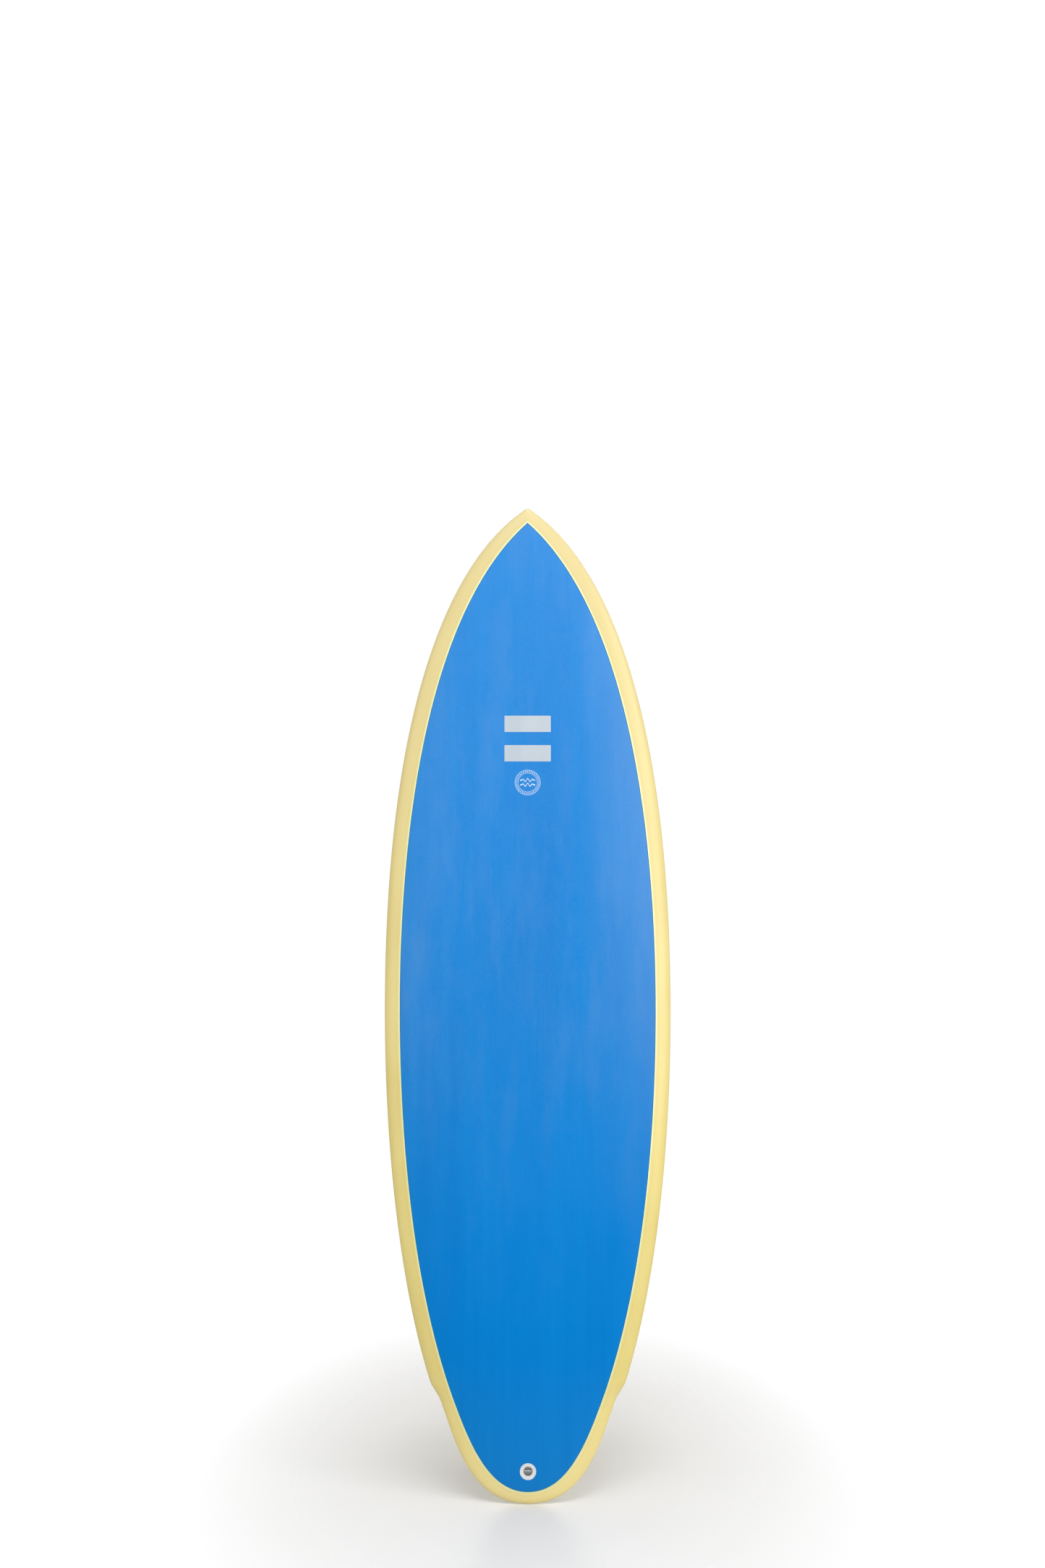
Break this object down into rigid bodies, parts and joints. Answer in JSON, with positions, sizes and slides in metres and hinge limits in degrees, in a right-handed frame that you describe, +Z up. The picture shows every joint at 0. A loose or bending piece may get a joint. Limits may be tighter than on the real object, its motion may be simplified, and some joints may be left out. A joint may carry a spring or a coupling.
{
  "type": "shortboard surfboard",
  "caption": "Shortboard surfboard with a pointed nose and winged round tail, blue deck inlay, pale yellow rails, pinline, leash plug and removable screw-clamped fins, leaning back on its tail.",
  "frame": {"origin": "lowest point of the tail tip, where the board touches the floor", "axes": "+Z up, with the board standing on its tail and leaning back 12 degrees; the deck faces -Y and the bottom with its fins +Y; +X is to the right as the deck is faced"},
  "size_m": [0.55, 0.347, 1.8518],
  "materials": {
    "blue_tinted_resin": "satin",
    "yellow_tinted_resin": "satin",
    "pinline_resin": "satin",
    "deck_graphic": "satin",
    "white_moulding": "satin",
    "black_moulding": "matte",
    "stainless_steel": "satin",
    "potting_resin": "gloss",
    "blank_foam": "matte",
    "dense_foam": "matte",
    "stringer_wood": "matte",
    "fin_composite": "satin"
  },
  "bodies": {
    "board": {"deck_laminate": "blue_tinted_resin", "rail_and_bottom_laminate": "yellow_tinted_resin", "pinline": "pinline_resin", "stripe_upper": "deck_graphic", "stripe_lower": "deck_graphic", "emblem": "deck_graphic", "leash_cup": "white_moulding", "leash_bar": "stainless_steel", "leash_plug_potting": "potting_resin", "foam_core_left": "blank_foam", "foam_core_right": "blank_foam", "stringer": "stringer_wood", "fin_box_left": "black_moulding", "fin_box_centre": "black_moulding", "fin_box_right": "black_moulding", "fin_box_foam_left": "dense_foam", "fin_box_foam_centre": "dense_foam", "fin_box_foam_right": "dense_foam"},
    "fin_left": {"fin_left": "fin_composite"},
    "fin_centre": {"fin_centre": "fin_composite"},
    "fin_right": {"fin_right": "fin_composite"},
    "grub_screw_left_front": {"grub_screw_left_front": "stainless_steel"},
    "grub_screw_left_rear": {"grub_screw_left_rear": "stainless_steel"},
    "grub_screw_centre_front": {"grub_screw_centre_front": "stainless_steel"},
    "grub_screw_centre_rear": {"grub_screw_centre_rear": "stainless_steel"},
    "grub_screw_right_front": {"grub_screw_right_front": "stainless_steel"},
    "grub_screw_right_rear": {"grub_screw_right_rear": "stainless_steel"}
  },
  "joints": [
    {"name": "fin_left_slide", "type": "slide", "parent": "board", "child": "fin_left", "axis": [-0.115, 0.9536, -0.2782], "range_m": [0, 0.03]},
    {"name": "fin_centre_slide", "type": "slide", "parent": "board", "child": "fin_centre", "axis": [0, 0.9479, -0.3184], "range_m": [0, 0.03]},
    {"name": "fin_right_slide", "type": "slide", "parent": "board", "child": "fin_right", "axis": [0.115, 0.9536, -0.2782], "range_m": [0, 0.03]},
    {"name": "grub_screw_left_front_turn", "type": "hinge", "parent": "board", "child": "grub_screw_left_front", "pos_m": [-0.1613, 0.11477, 0.36011], "axis": [0.4282, 0.8599, -0.278], "range_deg": [0, 810]},
    {"name": "grub_screw_left_rear_turn", "type": "hinge", "parent": "board", "child": "grub_screw_left_rear", "pos_m": [-0.16501, 0.0931, 0.28736], "axis": [0.4282, 0.8599, -0.278], "range_deg": [0, 810]},
    {"name": "grub_screw_centre_front_turn", "type": "hinge", "parent": "board", "child": "grub_screw_centre_front", "pos_m": [0.0039, 0.05902, 0.18129], "axis": [0.5299, 0.8039, -0.2701], "range_deg": [0, 810]},
    {"name": "grub_screw_centre_rear_turn", "type": "hinge", "parent": "board", "child": "grub_screw_centre_rear", "pos_m": [0.0039, 0.03482, 0.10924], "axis": [0.5299, 0.8039, -0.2701], "range_deg": [0, 810]},
    {"name": "grub_screw_right_front_turn", "type": "hinge", "parent": "board", "child": "grub_screw_right_front", "pos_m": [0.1613, 0.11477, 0.36011], "axis": [-0.4282, 0.8599, -0.278], "range_deg": [0, 810]},
    {"name": "grub_screw_right_rear_turn", "type": "hinge", "parent": "board", "child": "grub_screw_right_rear", "pos_m": [0.16501, 0.0931, 0.28736], "axis": [-0.4282, 0.8599, -0.278], "range_deg": [0, 810]}
  ]
}
